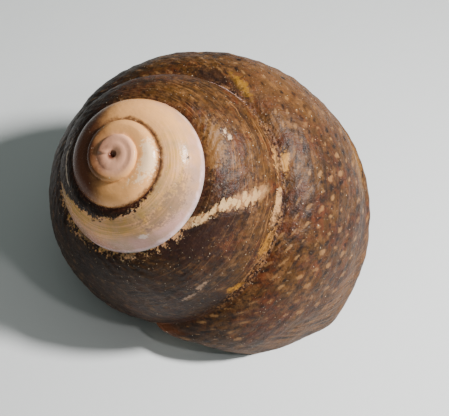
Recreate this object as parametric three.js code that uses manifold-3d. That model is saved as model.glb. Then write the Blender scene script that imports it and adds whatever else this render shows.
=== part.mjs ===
// Top shell: one coiled shell lying on its mouth, spire up and leaning back to the left.
// Millimetres, +Z up. The origin is under the middle of the shell, on the surface it rests on.
// The shell is first worked out round its own axis, apex at the top, and then laid on its mouth.

import * as THREE from 'three';
import { mergeVertices } from 'three/addons/utils/BufferGeometryUtils.js';
import Module from 'manifold-3d';

// The suture, from the apex down: its radius and its depth below the apex at every half turn.
const FIRST_TURN = -2.5;
const KNOT_STEP = 0.5;
const SUTURE_RADIUS = [0.82, 1.1, 1.46, 1.96, 2.6, 3.53, 4.69, 6.1, 7.8, 9.97, 12.28, 13.4, 13.4];
const SUTURE_DEPTH = [0.05, 0.12, 0.22, 0.4, 0.7, 1.35, 2.57, 4.42, 7.1, 11.34, 16.6, 22.65, 29.4];

// The outline of a whorl, from its upper suture over the shoulder to its lower one.
const SHOULDER_SLOPE = THREE.MathUtils.degToRad(11.5);
const FLANK_SLOPE = THREE.MathUtils.degToRad(84.8);
const SHOULDER_PULL = 0.273;
const FLANK_PULL = 0.423;

// The base under the last whorl, as shares of the radius at its edge.
const BASE_DEPTH = 0.34;
const BASE_REACH = 0.9;
const EDGE_PULL = 0.62;
const BASE_PULL = 0.52;

// Growth, in turns. Each growth line was once the lip: it falls back from the suture to the pillar
// by the lag, given at even steps from the upper suture over the edge to the middle of the base.
const GROWTH_STEP = 0.02;
const FIRST_LINE = -2.38;
const LIP_LINE = 2.28;
const WHORL_LINES = 44;
const EDGE_LAG = 0.12;
const LAG = [0, 0.046, 0.07, 0.09, EDGE_LAG, 0.145, 0.17, 0.2, 0.24];
const FLANK_STEPS = 8;
const BASE_STEPS = 6;

// The tip of the spire and the pillar at its heart.
const PIT_RADIUS = 0.35;
const PIT_TOP = -0.03;
const PIT_FLOOR = -0.45;
const PILLAR_RADIUS = 2.1;
const PILLAR_SWELL = 1.1;
const PILLAR_STEPS = 4;
const UMBILICUS_DEPTH = 22.5;

// The hollow inside, seen as shares of the flank and of the base that it runs along.
const WALL = 0.9;
const GLAZE = 0.25;
const HOLLOW_FLANK = [0.1, 1];
const HOLLOW_BASE = [1, 1.86];
const HOLLOW_TURNS = 1.7;
const HOLLOW_STEP = 0.025;

// How the shell lies: the direction of the surface's upright in the shell's own frame, and the
// direction that the shell turns to the front.
const REST_TILT = THREE.MathUtils.degToRad(42);
const REST_LEAN = THREE.MathUtils.degToRad(128);
const REST_HEIGHT = 19.9;
const FRONT_TILT = THREE.MathUtils.degToRad(29.8);
const FRONT_LEAN = THREE.MathUtils.degToRad(208.3);

const GROUND = 60;

const sutureCurve = new THREE.CatmullRomCurve3(
  SUTURE_RADIUS.map((radius, i) => new THREE.Vector3(radius, -SUTURE_DEPTH[i], 0)),
  false,
  'catmullrom',
  0.5,
);

// A point of the suture in the half plane of radius and height, at a number of turns.
function suture(turn) {
  const spans = SUTURE_RADIUS.length - 1;
  const point = sutureCurve.getPoint((turn - FIRST_TURN) / KNOT_STEP / spans);
  return new THREE.Vector2(point.x, point.y);
}

function along(from, slope, length) {
  return new THREE.Vector2(from.x + Math.cos(slope) * length, from.y - Math.sin(slope) * length);
}

// The visible outside of a whorl between its two sutures.
function flankCurve(turn) {
  const upper = suture(turn);
  const lower = suture(turn + 1);
  const chord = upper.distanceTo(lower);
  return new THREE.CubicBezierCurve(
    upper,
    along(upper, SHOULDER_SLOPE, chord * SHOULDER_PULL),
    along(lower, FLANK_SLOPE, -chord * FLANK_PULL),
    lower,
  );
}

// The base of a whorl, from its edge in to the axis.
function baseCurve(turn) {
  const edge = suture(turn + 1);
  const depth = BASE_DEPTH * edge.x;
  const middle = new THREE.Vector2(edge.x * (1 - BASE_REACH), edge.y - depth);
  return new THREE.CubicBezierCurve(
    edge,
    along(edge, FLANK_SLOPE, depth * EDGE_PULL),
    new THREE.Vector2(middle.x + edge.x * BASE_PULL, middle.y),
    middle,
  );
}

const lagCurve = new THREE.SplineCurve(LAG.map((lag, i) => new THREE.Vector2(i, lag)));

// How far a growth line lags, in turns, at 0 on the upper suture, 1 on the edge and 2 in the middle.
function lag(across) {
  return lagCurve.getPoint(across / 2).y;
}

// A point moved off the surface, at a number of turns: inwards for a depth above zero.
function whorlPoint(turn, across, depth) {
  const curve = across <= 1 ? flankCurve(turn) : baseCurve(turn);
  const share = across <= 1 ? across : across - 1;
  const way = curve.getTangent(share);
  const point = curve.getPoint(share).add(new THREE.Vector2(way.y, -way.x).multiplyScalar(depth));
  return point;
}

function turned(point, turn) {
  const angle = 2 * Math.PI * turn;
  return new THREE.Vector3(point.x * Math.cos(angle), -point.x * Math.sin(angle), point.y);
}

// A point of the outside, on a growth line.
function outsidePoint(line, across) {
  const turn = line - lag(across);
  return turned(whorlPoint(turn, across, 0), turn);
}

// A point of the hollow's wall that faces the outside, on a growth line.
function outerWallPoint(line, across) {
  const turn = line - lag(across);
  const point = whorlPoint(turn, across, WALL);
  point.x = Math.max(point.x, PILLAR_RADIUS);
  return turned(point, turn);
}

// A point of the hollow's wall that lies on the whorl before, on a growth line.
function innerWallPoint(line, across) {
  const turn = line - 1 - lag(across) + EDGE_LAG;
  const point = whorlPoint(turn, across, -GLAZE);
  point.x = Math.max(point.x, PILLAR_RADIUS);
  return turned(point, turn);
}

function ramp([from, to], step, steps) {
  return from + ((to - from) * step) / steps;
}

// Points over the pillar from one place to another, swelling away from the axis in between.
function overPillar(from, to, swell) {
  const points = [];
  for (let k = 1; k <= PILLAR_STEPS; k += 1) {
    const share = k / (PILLAR_STEPS + 1);
    const point = from.clone().lerp(to, share);
    const flat = new THREE.Vector3(point.x, point.y, 0).normalize();
    points.push(point.addScaledVector(flat, swell * Math.sin(Math.PI * share)));
  }
  return points;
}

// One ring of the hollow: along the flank and the base, over the pillar, and back.
function hollowRing(line) {
  const ring = [];
  for (let j = 0; j <= FLANK_STEPS; j += 1) {
    ring.push(outerWallPoint(line, ramp(HOLLOW_FLANK, j, FLANK_STEPS)));
  }
  for (let j = 1; j <= BASE_STEPS; j += 1) {
    ring.push(outerWallPoint(line, ramp(HOLLOW_BASE, j, BASE_STEPS)));
  }
  const back = [];
  for (let j = BASE_STEPS; j > 0; j -= 1) {
    back.push(innerWallPoint(line, ramp(HOLLOW_BASE, j, BASE_STEPS)));
  }
  return [...ring, ...overPillar(ring[ring.length - 1], back[0], 0), ...back];
}

// The shell as one closed surface, round its own axis.
function coiledGeometry() {
  const lines = Math.round((LIP_LINE - FIRST_LINE) / GROWTH_STEP);
  const baseLine = lines - WHORL_LINES;
  const across = FLANK_STEPS + BASE_STEPS;
  const positions = [];
  const index = [];
  const numbers = new Map();
  const place = (point) => positions.push(point.x, point.y, point.z) / 3 - 1;
  const face = (a, b, c) => index.push(a, b, c);
  const share = (j) => (j <= FLANK_STEPS ? j / FLANK_STEPS : 1 + (j - FLANK_STEPS) / BASE_STEPS);

  // The vertex on a growth line: along the upper suture it is the one on the edge a whorl before.
  const vertex = (i, j) => {
    if (j === 0 && i >= WHORL_LINES) return vertex(i - WHORL_LINES, FLANK_STEPS);
    const key = `${i},${j}`;
    if (!numbers.has(key)) {
      numbers.set(key, place(outsidePoint(FIRST_LINE + i * GROWTH_STEP, share(j))));
    }
    return numbers.get(key);
  };

  // The flank of every whorl, and the base of the last one.
  for (let i = 0; i < lines; i += 1) {
    const end = i < baseLine ? FLANK_STEPS : across;
    for (let j = 0; j < end; j += 1) {
      face(vertex(i, j), vertex(i + 1, j), vertex(i, j + 1));
      face(vertex(i, j + 1), vertex(i + 1, j), vertex(i + 1, j + 1));
    }
  }

  // The tip: a narrow shelf round the pit, and the pit itself.
  const mouthOfPit = [];
  for (let i = 0; i < WHORL_LINES; i += 1) mouthOfPit.push(vertex(i, 0));
  for (let j = FLANK_STEPS; j > 0; j -= 1) mouthOfPit.push(vertex(0, j));
  const shelf = mouthOfPit.map((v) => {
    const angle = Math.atan2(positions[3 * v + 1], positions[3 * v]);
    return place(new THREE.Vector3(PIT_RADIUS * Math.cos(angle), PIT_RADIUS * Math.sin(angle), PIT_TOP));
  });
  const pitFloor = place(new THREE.Vector3(0, 0, PIT_FLOOR));
  mouthOfPit.forEach((v, k) => {
    const next = (k + 1) % mouthOfPit.length;
    face(mouthOfPit[next], v, shelf[k]);
    face(mouthOfPit[next], shelf[k], shelf[next]);
    face(shelf[next], shelf[k], pitFloor);
  });

  // The rim runs from the edge of the mouth, over the pillar too, to the first ring of the hollow.
  const at = (v) => new THREE.Vector3().fromArray(positions, 3 * v);
  const pillarFoot = vertex(lines, across);
  const pillarHead = vertex(baseLine, across);
  const pillarEdge = overPillar(at(pillarFoot), at(pillarHead), PILLAR_SWELL).map(place);
  let outer = [];
  for (let j = 0; j <= across; j += 1) outer.push(vertex(lines, j));
  outer.push(...pillarEdge);
  for (let j = across; j > FLANK_STEPS; j -= 1) outer.push(vertex(baseLine, j));

  // The closed umbilicus, between the middle of the base and the pillar's edge.
  const umbilicus = place(new THREE.Vector3(0, 0, -UMBILICUS_DEPTH));
  for (let i = baseLine; i < lines; i += 1) face(vertex(i, across), vertex(i + 1, across), umbilicus);
  const edge = [pillarFoot, ...pillarEdge, pillarHead];
  for (let k = 1; k < edge.length; k += 1) face(edge[k - 1], edge[k], umbilicus);

  for (let line = LIP_LINE; line > LIP_LINE - HOLLOW_TURNS; line -= HOLLOW_STEP) {
    const ring = hollowRing(line).map(place);
    outer.forEach((v, k) => {
      const next = (k + 1) % outer.length;
      face(outer[next], v, ring[k]);
      face(outer[next], ring[k], ring[next]);
    });
    outer = ring;
  }
  const middle = outer.reduce((sum, v) => sum.add(at(v)), new THREE.Vector3());
  const inmost = place(middle.divideScalar(outer.length));
  outer.forEach((v, k) => face(outer[(k + 1) % outer.length], v, inmost));

  const geometry = new THREE.BufferGeometry();
  geometry.setAttribute('position', new THREE.Float32BufferAttribute(positions, 3));
  geometry.setIndex(index);
  return geometry;
}

const wasm = await Module();
wasm.setup();

// A closed geometry as a solid that can be joined and cut.
function solid(geometry) {
  geometry.deleteAttribute('normal');
  geometry.deleteAttribute('uv');
  const merged = mergeVertices(geometry);
  return new wasm.Manifold(new wasm.Mesh({
    numProp: 3,
    vertProperties: new Float32Array(merged.attributes.position.array),
    triVerts: new Uint32Array(merged.index.array),
  }));
}

// A direction given by its tilt from the shell's axis and the way it leans.
function direction(tilt, lean) {
  return new THREE.Vector3(
    -Math.sin(tilt) * Math.cos(lean),
    Math.sin(tilt) * Math.sin(lean),
    Math.cos(tilt),
  );
}

// The turn that lays the shell on its mouth, with its front to -Y.
function restMatrix() {
  const up = direction(REST_TILT, REST_LEAN);
  const right = new THREE.Vector3().crossVectors(up, direction(FRONT_TILT, FRONT_LEAN)).normalize();
  const back = new THREE.Vector3().crossVectors(up, right);
  const matrix = new THREE.Matrix4().makeBasis(right, back, up).transpose();
  return matrix.premultiply(new THREE.Matrix4().makeTranslation(0, 0, REST_HEIGHT));
}

// The shell laid on its mouth, with its rim and its base flat where they meet the surface.
function shellGeometry() {
  const laid = solid(coiledGeometry().applyMatrix4(restMatrix()));
  const ground = new THREE.BoxGeometry(2 * GROUND, 2 * GROUND, GROUND).translate(0, 0, -GROUND / 2);
  const mesh = laid.subtract(solid(ground)).getMesh();
  const geometry = new THREE.BufferGeometry();
  geometry.setAttribute('position', new THREE.Float32BufferAttribute(mesh.vertProperties, 3));
  geometry.setIndex(Array.from(mesh.triVerts));
  geometry.computeBoundingBox();
  const middle = geometry.boundingBox.getCenter(new THREE.Vector3());
  return geometry.translate(-middle.x, -middle.y, 0);
}

const shellMaterial = new THREE.MeshStandardMaterial({ color: 0x5a4436, roughness: 0.55, metalness: 0 });
const shell = new THREE.Mesh(shellGeometry(), shellMaterial);
shell.name = 'shell';

const topShell = new THREE.Group();
topShell.add(shell);

export default topShell;
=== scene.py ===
"""Top shell lying on its mouth: the fine model of its surface, its inside and its finishes."""

import logging
import math
from collections.abc import Callable
from dataclasses import dataclass, field
from enum import Enum

import bmesh
import bpy
from bmesh.types import BMesh, BMFace, BMVert
from mathutils import Matrix, Vector, noise


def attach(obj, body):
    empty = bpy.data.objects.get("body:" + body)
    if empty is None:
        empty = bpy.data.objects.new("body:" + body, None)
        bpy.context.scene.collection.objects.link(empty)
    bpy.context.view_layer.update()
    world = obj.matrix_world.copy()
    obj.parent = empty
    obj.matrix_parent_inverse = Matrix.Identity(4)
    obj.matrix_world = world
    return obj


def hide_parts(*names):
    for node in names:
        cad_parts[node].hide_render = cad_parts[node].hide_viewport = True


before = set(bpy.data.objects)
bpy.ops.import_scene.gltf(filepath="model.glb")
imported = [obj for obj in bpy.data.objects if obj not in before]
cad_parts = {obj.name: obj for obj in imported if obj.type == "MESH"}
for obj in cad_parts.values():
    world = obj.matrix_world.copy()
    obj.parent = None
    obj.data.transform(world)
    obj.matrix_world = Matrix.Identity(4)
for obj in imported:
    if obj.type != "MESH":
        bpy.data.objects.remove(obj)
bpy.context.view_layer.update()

LOG = logging.getLogger("top_shell")
MM = 0.001
TURN = 2.0 * math.pi
Span = tuple[float, float]


class Region(Enum):
    """The parts of the surface that take a finish of their own, by material index."""

    SKIN = 0
    NACRE = 1


class Ending(Enum):
    """How a curve through evenly spaced values starts and ends."""

    OPEN = "its end slope carries on"
    HELD = "its end slope is halved"


def smooth_step(low: float, high: float, value: float) -> float:
    """A rise from 0 to 1 between two values, with no kink at either end."""
    share = min(1.0, max(0.0, (value - low) / (high - low)))
    return share * share * (3.0 - 2.0 * share)


def mix(first: float, second: float, share: float) -> float:
    """A value between two others."""
    return first + (second - first) * share


def spline(values: tuple[float, ...], place: float, ending: Ending) -> float:
    """A value on a smooth curve through evenly spaced values.

    Args:
        values: The values that the curve passes through.
        place: The place along them, 0 on the first and 1 on the next.
        ending: What the curve does beyond its first and last value.

    Returns:
        The curve's value there.
    """
    last = len(values) - 1
    i = min(last - 1, max(0, math.floor(place)))
    t = place - i
    here, there = values[i], values[i + 1]
    if ending is Ending.OPEN:
        before = values[i - 1] if i > 0 else 2.0 * here - there
        after = values[i + 2] if i + 2 <= last else 2.0 * there - here
    else:
        t = min(1.0, max(0.0, t))
        before = values[max(0, i - 1)]
        after = values[min(last, i + 2)]
    a, b = 0.5 * (there - before), 0.5 * (after - here)
    cubic = 2 * here - 2 * there + a + b
    square = 3 * there - 3 * here - 2 * a - b
    return cubic * t**3 + square * t**2 + a * t + here


def bezier(points: tuple[Vector, Vector, Vector, Vector], share: float) -> tuple[Vector, Vector]:
    """A point of a cubic curve and the way along it.

    Args:
        points: The curve's four control points.
        share: The place along it, from 0 to 1.

    Returns:
        The point, and the unit tangent there.
    """
    p0, p1, p2, p3 = points
    r = 1.0 - share
    point = p0 * r**3 + p1 * (3 * r * r * share) + p2 * (3 * r * share * share) + p3 * share**3
    way = (p1 - p0) * (r * r) + (p2 - p1) * (2 * r * share) + (p3 - p2) * (share * share)
    return point, way.normalized()


@dataclass(frozen=True)
class Growth:
    """How the shell coils: its suture, the outline of its whorls and the slant of its growth lines.

    Lengths are in millimetres round the shell's own axis, with the tip at the top. A growth line is
    numbered in turns. Across it, 0 is the upper suture, 1 the edge of the base, 2 the middle of it.
    """

    first_turn: float = -2.5
    knot_step: float = 0.5
    suture_radius: tuple[float, ...] = (
        0.82, 1.1, 1.46, 1.96, 2.6, 3.53, 4.69, 6.1, 7.8, 9.97, 12.28, 13.4, 13.4)
    suture_depth: tuple[float, ...] = (
        0.05, 0.12, 0.22, 0.4, 0.7, 1.35, 2.57, 4.42, 7.1, 11.34, 16.6, 22.65, 29.4)
    shoulder_slope: float = math.radians(11.5)
    flank_slope: float = math.radians(84.8)
    shoulder_pull: float = 0.273
    flank_pull: float = 0.423
    base_depth: float = 0.34
    base_reach: float = 0.9
    edge_pull: float = 0.62
    base_pull: float = 0.52
    line_lag: tuple[float, ...] = (0.0, 0.046, 0.07, 0.09, 0.12, 0.145, 0.17, 0.2, 0.24)

    def suture(self, turn: float) -> Vector:
        """The suture at a number of turns.

        Args:
            turn: The number of turns.

        Returns:
            Its radius and its height.
        """
        place = (turn - self.first_turn) / self.knot_step
        radius = spline(self.suture_radius, place, Ending.OPEN)
        return Vector((radius, -spline(self.suture_depth, place, Ending.OPEN)))

    def lag(self, across: float) -> float:
        """How far a growth line falls back, in turns, at a place across it."""
        return spline(self.line_lag, across * (len(self.line_lag) - 1) / 2.0, Ending.HELD)

    def girth(self, turn: float) -> float:
        """The width of a whorl's flank, from suture to suture along a straight line."""
        return (self.suture(turn + 1.0) - self.suture(turn)).length

    def outline(self, turn: float, across: float) -> tuple[Vector, Vector]:
        """A point of a whorl's outline in the half plane through the axis.

        Args:
            turn: The number of turns at which the whorl is cut.
            across: The place across the outline.

        Returns:
            The point and the tangent, both as radius and height.
        """
        lower = self.suture(turn + 1.0)
        steep = Vector((math.cos(self.flank_slope), -math.sin(self.flank_slope)))
        if across <= 1.0:
            upper = self.suture(turn)
            chord = (lower - upper).length
            flat = Vector((math.cos(self.shoulder_slope), -math.sin(self.shoulder_slope)))
            inner = upper + flat * chord * self.shoulder_pull
            return bezier((upper, inner, lower - steep * chord * self.flank_pull, lower), across)
        depth = self.base_depth * lower.x
        middle = Vector((lower.x * (1.0 - self.base_reach), lower.y - depth))
        outer = lower + steep * depth * self.edge_pull
        inner = middle + Vector((lower.x * self.base_pull, 0.0))
        return bezier((lower, outer, inner, middle), across - 1.0)

    def point(self, turn: float, across: float, depth: float = 0.0, nearest: float = 0.0) -> Vector:
        """A point of the shell in space.

        Args:
            turn: The number of turns.
            across: The place across the whorl's outline.
            depth: How far under the outside the point lies.
            nearest: The nearest that it may come to the axis.

        Returns:
            The point, in millimetres round the shell's own axis.
        """
        flat, way = self.outline(turn, across)
        radius = max(nearest, flat.x + way.y * depth)
        angle = TURN * turn
        return Vector((radius * math.cos(angle), -radius * math.sin(angle), flat.y - way.x * depth))


@dataclass(frozen=True)
class RestingPose:
    """How the shell lies on its mouth, and where that puts its tip, in millimetres."""

    tilt: float = math.radians(42.0)
    lean: float = math.radians(128.0)
    height: float = 19.9
    front_tilt: float = math.radians(29.8)
    front_lean: float = math.radians(208.3)
    middle: tuple[float, float] = (8.8908, 8.243)

    @staticmethod
    def direction(tilt: float, lean: float) -> Vector:
        """A direction given by its tilt from the shell's axis and its lean round it."""
        flat = math.sin(tilt)
        return Vector((-flat * math.cos(lean), flat * math.sin(lean), math.cos(tilt)))

    def matrix(self) -> Matrix:
        """The turn, shift and scale that lay the shell on its mouth.

        Returns:
            The matrix from the shell's own axis to the part's frame, in metres.
        """
        up = self.direction(self.tilt, self.lean)
        right = up.cross(self.direction(self.front_tilt, self.front_lean)).normalized()
        turn = Matrix((right, up.cross(right), up)).to_4x4()
        return Matrix.Scale(MM, 4) @ Matrix.Translation(self.tip()) @ turn

    def tip(self) -> Vector:
        """Where the shell's tip lies in the part's frame, in millimetres."""
        return Vector((-self.middle[0], -self.middle[1], self.height))


@dataclass(frozen=True)
class Relief:
    """The fine form of the outside: channels, cords, growth ridges, the swell and the worn layer.

    Lengths are in millimetres. A pitch is how fast an uneven pattern changes along one millimetre,
    and an end or a start is the span of growth lines over which a form goes or sets in.
    """

    start: Span = (-1.4, 1.0)
    tip_clear: Span = (-2.3, -1.7)
    middle_clear: Span = (1.85, 2.0)
    suture_clear: Span = (0.0, 1.2)
    worn_off: float = 0.85
    channel_depth: float = 0.07
    channel_width: float = 0.25
    channel_uneven: float = 0.9
    channel_pitch: float = 2.1
    channel_radius: Span = (0.9, 2.4)
    channel_end: Span = (0.7, 1.0)
    channel_loss: float = 0.8
    cord_height: float = 0.02
    cords: int = 17
    cord_least: float = 0.5
    cord_pitch: float = 0.7
    ridge_height: float = 0.035
    ridges_per_turn: float = 52.0
    ridge_least: float = 0.3
    ridge_uneven: float = 1.2
    ridge_pitch: float = 0.4
    wobble: float = 2.2
    wobble_pitch: float = 0.3
    lump_height: float = 0.14
    lump_pitch: float = 0.38
    keel_round: float = 0.24
    keel_width: float = 0.07
    keel_clear: Span = (0.6, 3.0)
    keel_end: Span = (2.05, 2.22)
    bulge: float = 0.14
    bulge_end: Span = (-0.1, 0.4)
    fullness: float = 0.44
    fullness_low: float = 1.8
    fullness_first: Span = (1.1, 1.6)
    fullness_last: Span = (1.8, 2.05)
    fullness_split: tuple[float, float] = (0.3, 0.7)
    grain_height: float = 0.05
    grain_pitch: float = 1.6
    grain_loss: float = 0.75
    layer: float = 0.06
    shelf_height: float = 0.06
    shelf_place: float = 0.9
    shelf_width: float = 0.5
    shelf_end: Span = (0.8, 1.0)
    break_line: float = 1.16
    break_depth: float = 0.12
    break_stray: float = 0.015
    break_pitch: float = 0.9
    break_start: Span = (-0.012, 0.0)
    break_end: Span = (0.0, 0.09)

    def channel(self, line: float, to_suture: float, place: Vector) -> float:
        """How far the surface is pulled in along a suture.

        Args:
            line: The growth line.
            to_suture: The distance to the nearest suture.
            place: The point, round the shell's own axis.

        Returns:
            The depth of the channel there.
        """
        uneven = 1.0 + self.channel_uneven * noise.noise(place * self.channel_pitch)
        depth = self.channel_depth * math.exp(-((to_suture / self.channel_width) ** 2)) * uneven
        depth *= smooth_step(*self.channel_radius, math.hypot(place.x, place.y))
        return depth * (1.0 - self.channel_loss * smooth_step(*self.channel_end, line))

    def ribs(self, line: float, across: float, place: Vector) -> float:
        """The height of the cords, the growth ridges and the soft uneven swell.

        Args:
            line: The growth line.
            across: The place across it.
            place: The point, round the shell's own axis.

        Returns:
            How far the surface stands off where nothing is worn.
        """
        cord = math.sin(TURN * self.cords * across)
        height = self.cord_height * cord * (self.cord_least + noise.noise(place * self.cord_pitch))
        wobble = self.wobble * noise.noise(place * self.wobble_pitch)
        ridge = math.sin(TURN * self.ridges_per_turn * line + wobble)
        uneven = self.ridge_uneven * abs(noise.noise(place * self.ridge_pitch))
        height += self.ridge_height * ridge * (self.ridge_least + uneven)
        return height + self.lump_height * noise.noise(place * self.lump_pitch)

    def swell(self, line: float, across: float, to_suture: float) -> float:
        """The height of the flank's fuller middle, less what the rounded keel loses.

        Args:
            line: The growth line.
            across: The place across it.
            to_suture: The distance to the nearest suture.

        Returns:
            How far the surface stands off.
        """
        keel = math.exp(-(((across - 1.0) / self.keel_width) ** 2))
        keel *= smooth_step(*self.keel_clear, to_suture) * (1.0 - smooth_step(*self.keel_end, line))
        height = -self.keel_round * keel
        if across < 1.0:
            young = 1.0 - smooth_step(*self.bulge_end, line)
            first, last = self.fullness_split
            late = first * smooth_step(*self.fullness_first, line)
            late += last * smooth_step(*self.fullness_last, line)
            height += self.bulge * math.sin(math.pi * across) * young
            height += self.fullness * math.sin(math.pi * across**self.fullness_low) * late
        return height

    def broken(self, line: float, across: float, place: Vector) -> float:
        """The depth of the step behind the broken growth line.

        Args:
            line: The growth line.
            across: The place across it.
            place: The point, round the shell's own axis.

        Returns:
            How far the surface lies under the smooth form.
        """
        if across >= 1.0:
            return 0.0
        past = line - self.break_line + self.break_stray * noise.noise(place * self.break_pitch)
        step = smooth_step(*self.break_start, past) * (1.0 - smooth_step(*self.break_end, past))
        return self.break_depth * step

    def height(
        self, line: float, across: float, to_suture: float, bare: float, place: Vector
    ) -> float:
        """How far the surface stands off from the smooth form.

        Args:
            line: The growth line.
            across: The place across it.
            to_suture: The distance to the nearest suture.
            bare: How far the outer layer is worn away, from 0 to 1.
            place: The point, round the shell's own axis.

        Returns:
            The height, below zero where the surface lies under the smooth form.
        """
        grown = smooth_step(*self.start, line) * (1.0 - self.worn_off * bare)
        height = grown * self.ribs(line, across, place) + self.swell(line, across, to_suture)
        grain = self.grain_height * noise.noise(place * self.grain_pitch)
        height += grain * (1.0 - self.grain_loss * bare) - self.layer * bare
        shelf = math.exp(-(((to_suture - self.shelf_place) / self.shelf_width) ** 2))
        height += self.shelf_height * shelf * grown * (1.0 - smooth_step(*self.shelf_end, line))
        height -= self.broken(line, across, place)
        free = smooth_step(*self.suture_clear, to_suture) * smooth_step(*self.tip_clear, line)
        if across > 1.0:
            free *= 1.0 - smooth_step(*self.middle_clear, across)
        return height * free


@dataclass(frozen=True)
class Wear:
    """Where the outer layer is worn away or broken, as fields that the finish reads.

    A start, a bend and an end are places: the number of turns and the place across the whorl.
    """

    pale_start: tuple[float, float] = (0.12, 0.02)
    pale_bend: tuple[float, float] = (0.42, 0.33)
    pale_end: tuple[float, float] = (0.6, 1.02)
    start_slope: float = 4.0
    end_slope: float = 2.0
    most: float = 0.5
    rim_end: Span = (0.85, 1.0)
    rim_width: float = 0.055
    whole: float = 0.3
    spill: float = 0.03
    spill_turns: Span = (1.12, 1.52)
    rough_start: Span = (0.93, 0.98)
    rough_end: Span = (1.26, 1.36)
    rough_above: float = 0.95
    rough_below: float = 0.45
    rough_core: float = 0.4
    whorl_before: float = 0.88

    def pale(self, turn: float, across: float) -> float:
        """How far a place lies inside the worn pale spire.

        Args:
            turn: The number of turns.
            across: The place across the whorl.

        Returns:
            Above zero inside, below zero outside, in widths of the whorl.
        """
        (start, high), (bend, middle), (end, low) = self.pale_start, self.pale_bend, self.pale_end
        if turn < start:
            inside = min(self.most, self.start_slope * (start - turn) + across - high)
        elif turn < bend:
            inside = across - mix(high, middle, (turn - start) / (bend - start))
        elif turn < end:
            inside = across - mix(middle, low, (turn - bend) / (end - bend))
        else:
            inside = across - low - self.end_slope * (turn - end)
        if self.spill_turns[0] < turn < self.spill_turns[1]:
            inside = self.spill - across
        fading = mix(self.rim_width, -self.whole, smooth_step(*self.rim_end, turn))
        rim = across - (1.0 - fading) if across <= 1.0 else -1.0
        return max(-self.most, min(self.most, max(inside, rim)))

    def rough(self, line: float, across: float, upper: float, lower: float) -> float:
        """How broken the surface is along the last part of the suture.

        Args:
            line: The growth line.
            across: The place across it. It is not used.
            upper: The distance to the upper suture, in millimetres.
            lower: The distance to the lower suture, in millimetres.

        Returns:
            From 0 where it is whole to 1 along the suture.
        """
        above = lower < upper
        before = line if above else line - self.whorl_before
        share = smooth_step(*self.rough_start, before)
        share *= 1.0 - smooth_step(*self.rough_end, before)
        reach = self.rough_above if above else self.rough_below
        return share * (1.0 - smooth_step(self.rough_core * reach, reach, min(upper, lower)))


@dataclass
class Sheet:
    """One patch of the surface, laid as a grid of growth lines and then drawn into shape."""

    lines: tuple[float, ...]
    shares: tuple[float, ...]
    place: Callable[[float, float], Vector]
    mark: Callable[[float, float], tuple[float, float]]
    region: Region

    def lay(self, bm: BMesh) -> None:
        """Makes the grid, writes its growth coordinates and moves it into shape.

        Args:
            bm: The mesh that the sheet is added to.
        """
        wide, high = len(self.lines) - 1, len(self.shares) - 1
        shift = Matrix.Translation((wide / 2.0, high / 2.0, 0.0))
        corner = shift @ Matrix.Diagonal((wide, high, 1.0, 1.0))
        verts = bmesh.ops.create_grid(
            bm, x_segments=wide, y_segments=high, size=0.5, matrix=corner)["verts"]
        growth = bm.loops.layers.uv["growth"]
        for bm_face in {f for v in verts for f in v.link_faces}:
            bm_face.material_index = self.region.value
            bm_face.smooth = True
            for loop in bm_face.loops:
                at = loop.vert.co
                loop[growth].uv = self.mark(self.lines[round(at.x)], self.shares[round(at.y)])
        for vert in verts:
            vert.co = self.place(self.lines[round(vert.co.x)], self.shares[round(vert.co.y)])


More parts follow.
